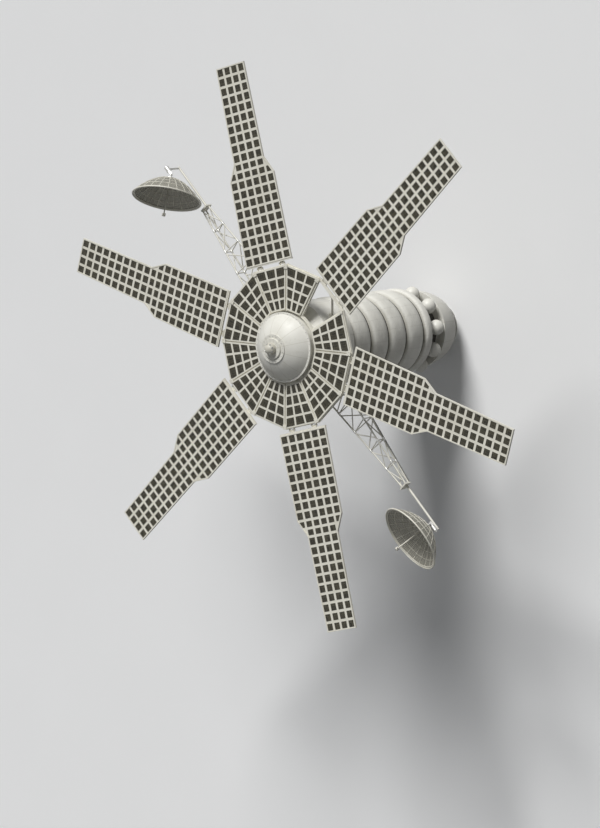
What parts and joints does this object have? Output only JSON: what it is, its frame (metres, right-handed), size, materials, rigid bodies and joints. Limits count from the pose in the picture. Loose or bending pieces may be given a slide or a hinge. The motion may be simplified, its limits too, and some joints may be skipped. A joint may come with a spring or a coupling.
{
  "type": "communications satellite",
  "caption": "Communications satellite with a ribbed body, a windmill of folding solar wings, a domed nose and steerable dish antennas on trussed booms.",
  "frame": {"origin": "centre of the launch adapter ring's lower face, which the satellite stands on", "axes": "+Z along the body from the adapter ring to the nose, +X along the first solar wing, antenna booms along +Y and -Y"},
  "size_m": [8.2, 7.5463, 4.0266],
  "materials": {
    "bare_alloy": "satin",
    "nozzle_metal": "heat-darkened",
    "dark_core": "matt dark coating",
    "white_coat": "matt white thermal paint",
    "sensor_head": "satin",
    "solar_cells": "dark cells on a honeycomb panel",
    "white_frame": "matt white paint",
    "boom_tube": "matt white paint",
    "dish_mesh": "satin"
  },
  "bodies": {
    "body": {"adapter_ring": "bare_alloy", "tail_shroud": "white_coat", "engine_nozzle": "nozzle_metal", "bottle_bay_core": "dark_core", "gas_bottles": "white_coat", "barrel_core": "dark_core", "radiator_bands": "white_coat", "boom_mount_ring": "white_coat", "neck": "white_coat", "dome_base_ring": "white_coat", "dome": "white_coat", "dome_step_rings": "white_coat", "nose_sensor": "sensor_head", "collar_frame": "white_frame", "collar_panels": "solar_cells", "collar_struts": "bare_alloy", "port_boom_bracket": "bare_alloy", "starboard_boom_bracket": "bare_alloy"},
    "wing_1": {"wing_1_panel": "solar_cells", "wing_1_root_beam": "white_frame"},
    "wing_2": {"wing_2_panel": "solar_cells", "wing_2_root_beam": "white_frame"},
    "wing_3": {"wing_3_panel": "solar_cells", "wing_3_root_beam": "white_frame"},
    "wing_4": {"wing_4_panel": "solar_cells", "wing_4_root_beam": "white_frame"},
    "wing_5": {"wing_5_panel": "solar_cells", "wing_5_root_beam": "white_frame"},
    "wing_6": {"wing_6_panel": "solar_cells", "wing_6_root_beam": "white_frame"},
    "port_boom": {"port_boom_truss": "boom_tube", "port_roll_housing": "bare_alloy"},
    "port_gimbal": {"port_gimbal_yoke": "bare_alloy"},
    "port_dish": {"port_dish_hub": "bare_alloy", "port_dish_shell": "dish_mesh", "port_dish_feed": "bare_alloy"},
    "starboard_boom": {"starboard_boom_truss": "boom_tube", "starboard_roll_housing": "bare_alloy"},
    "starboard_gimbal": {"starboard_gimbal_yoke": "bare_alloy"},
    "starboard_dish": {"starboard_dish_hub": "bare_alloy", "starboard_dish_shell": "dish_mesh", "starboard_dish_feed": "bare_alloy"}
  },
  "joints": [
    {"name": "wing_1_fold", "type": "hinge", "parent": "body", "child": "wing_1", "pos_m": [1.178, 0, 3.552], "axis": [0, 1, 0], "range_deg": [0, 90]},
    {"name": "wing_2_fold", "type": "hinge", "parent": "body", "child": "wing_2", "pos_m": [0.589, 1.02018, 3.552], "axis": [-0.866, 0.5, 0], "range_deg": [0, 90]},
    {"name": "wing_3_fold", "type": "hinge", "parent": "body", "child": "wing_3", "pos_m": [-0.589, 1.02018, 3.552], "axis": [-0.866, -0.5, 0], "range_deg": [0, 90]},
    {"name": "wing_4_fold", "type": "hinge", "parent": "body", "child": "wing_4", "pos_m": [-1.178, 0, 3.552], "axis": [0, -1, 0], "range_deg": [0, 90]},
    {"name": "wing_5_fold", "type": "hinge", "parent": "body", "child": "wing_5", "pos_m": [-0.589, -1.02018, 3.552], "axis": [0.866, -0.5, 0], "range_deg": [0, 90]},
    {"name": "wing_6_fold", "type": "hinge", "parent": "body", "child": "wing_6", "pos_m": [0.589, -1.02018, 3.552], "axis": [0.866, 0.5, 0], "range_deg": [0, 90]},
    {"name": "port_boom_fold", "type": "hinge", "parent": "body", "child": "port_boom", "pos_m": [0, 0.73, 3.06], "axis": [-1, 0, 0], "range_deg": [0, 75]},
    {"name": "port_dish_roll", "type": "hinge", "parent": "port_boom", "child": "port_gimbal", "pos_m": [0, 3.3, 3.4], "axis": [0, 1, 0], "range_deg": [-6.5, 53.5]},
    {"name": "port_dish_tilt", "type": "hinge", "parent": "port_gimbal", "child": "port_dish", "pos_m": [0, 3.3, 3.4], "axis": [-0.5948, 0, -0.8039], "range_deg": [-0.9, 57.1]},
    {"name": "starboard_boom_fold", "type": "hinge", "parent": "body", "child": "starboard_boom", "pos_m": [0, -0.73, 3.06], "axis": [1, 0, 0], "range_deg": [0, 75]},
    {"name": "starboard_dish_roll", "type": "hinge", "parent": "starboard_boom", "child": "starboard_gimbal", "pos_m": [0, -3.3, 3.21], "axis": [0, 1, 0], "range_deg": [-25, 35]},
    {"name": "starboard_dish_tilt", "type": "hinge", "parent": "starboard_gimbal", "child": "starboard_dish", "pos_m": [0, -3.3, 3.21], "axis": [0.8192, 0, 0.5736], "range_deg": [-33, 7]}
  ]
}
